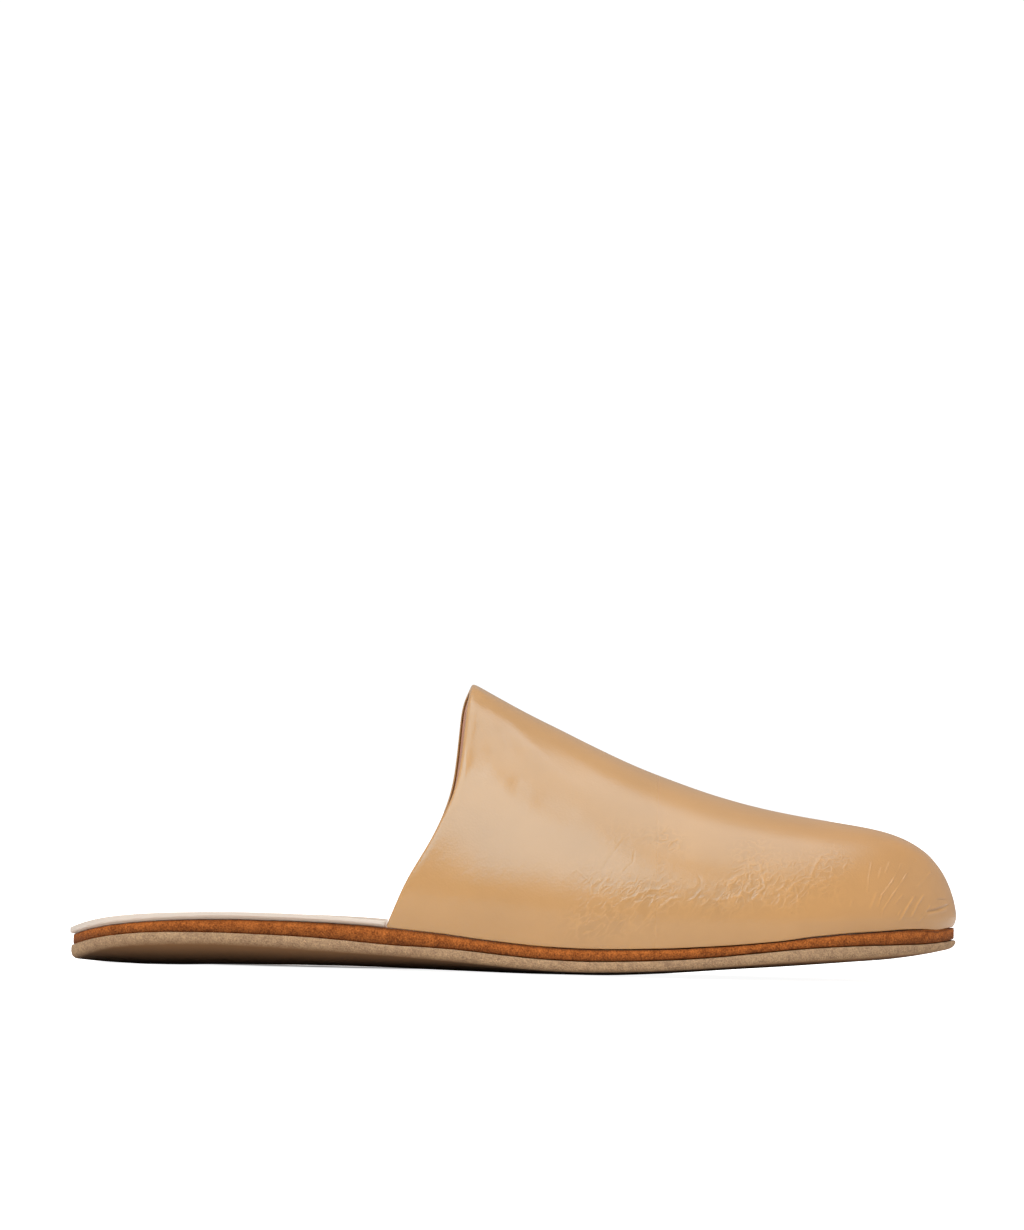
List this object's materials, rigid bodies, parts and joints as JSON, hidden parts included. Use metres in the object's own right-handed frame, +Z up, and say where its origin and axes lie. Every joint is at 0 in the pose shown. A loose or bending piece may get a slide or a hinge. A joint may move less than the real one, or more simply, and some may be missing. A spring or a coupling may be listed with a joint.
{
  "type": "slipper",
  "caption": "Backless leather mule slipper: a one-piece closed-toe upper, open behind a high pointed instep, on a thin flat sole of leather layers with a light toe spring.",
  "frame": {"origin": "on the floor under the middle of the slipper's length and width", "axes": "+X towards the toe, +Y towards the inner side of the foot, +Z up"},
  "size_m": [0.265, 0.0938, 0.0862],
  "materials": {
    "outsole": "rough-out suede with a cut edge",
    "midsole": "vegetable tanned, raw fuzzy cut edge",
    "insole": "smooth, matte",
    "upper": "smooth nappa with a soft sheen"
  },
  "bodies": {
    "root": {"outsole": "outsole", "midsole": "midsole", "insole": "insole", "upper": "upper"}
  },
  "joints": []
}
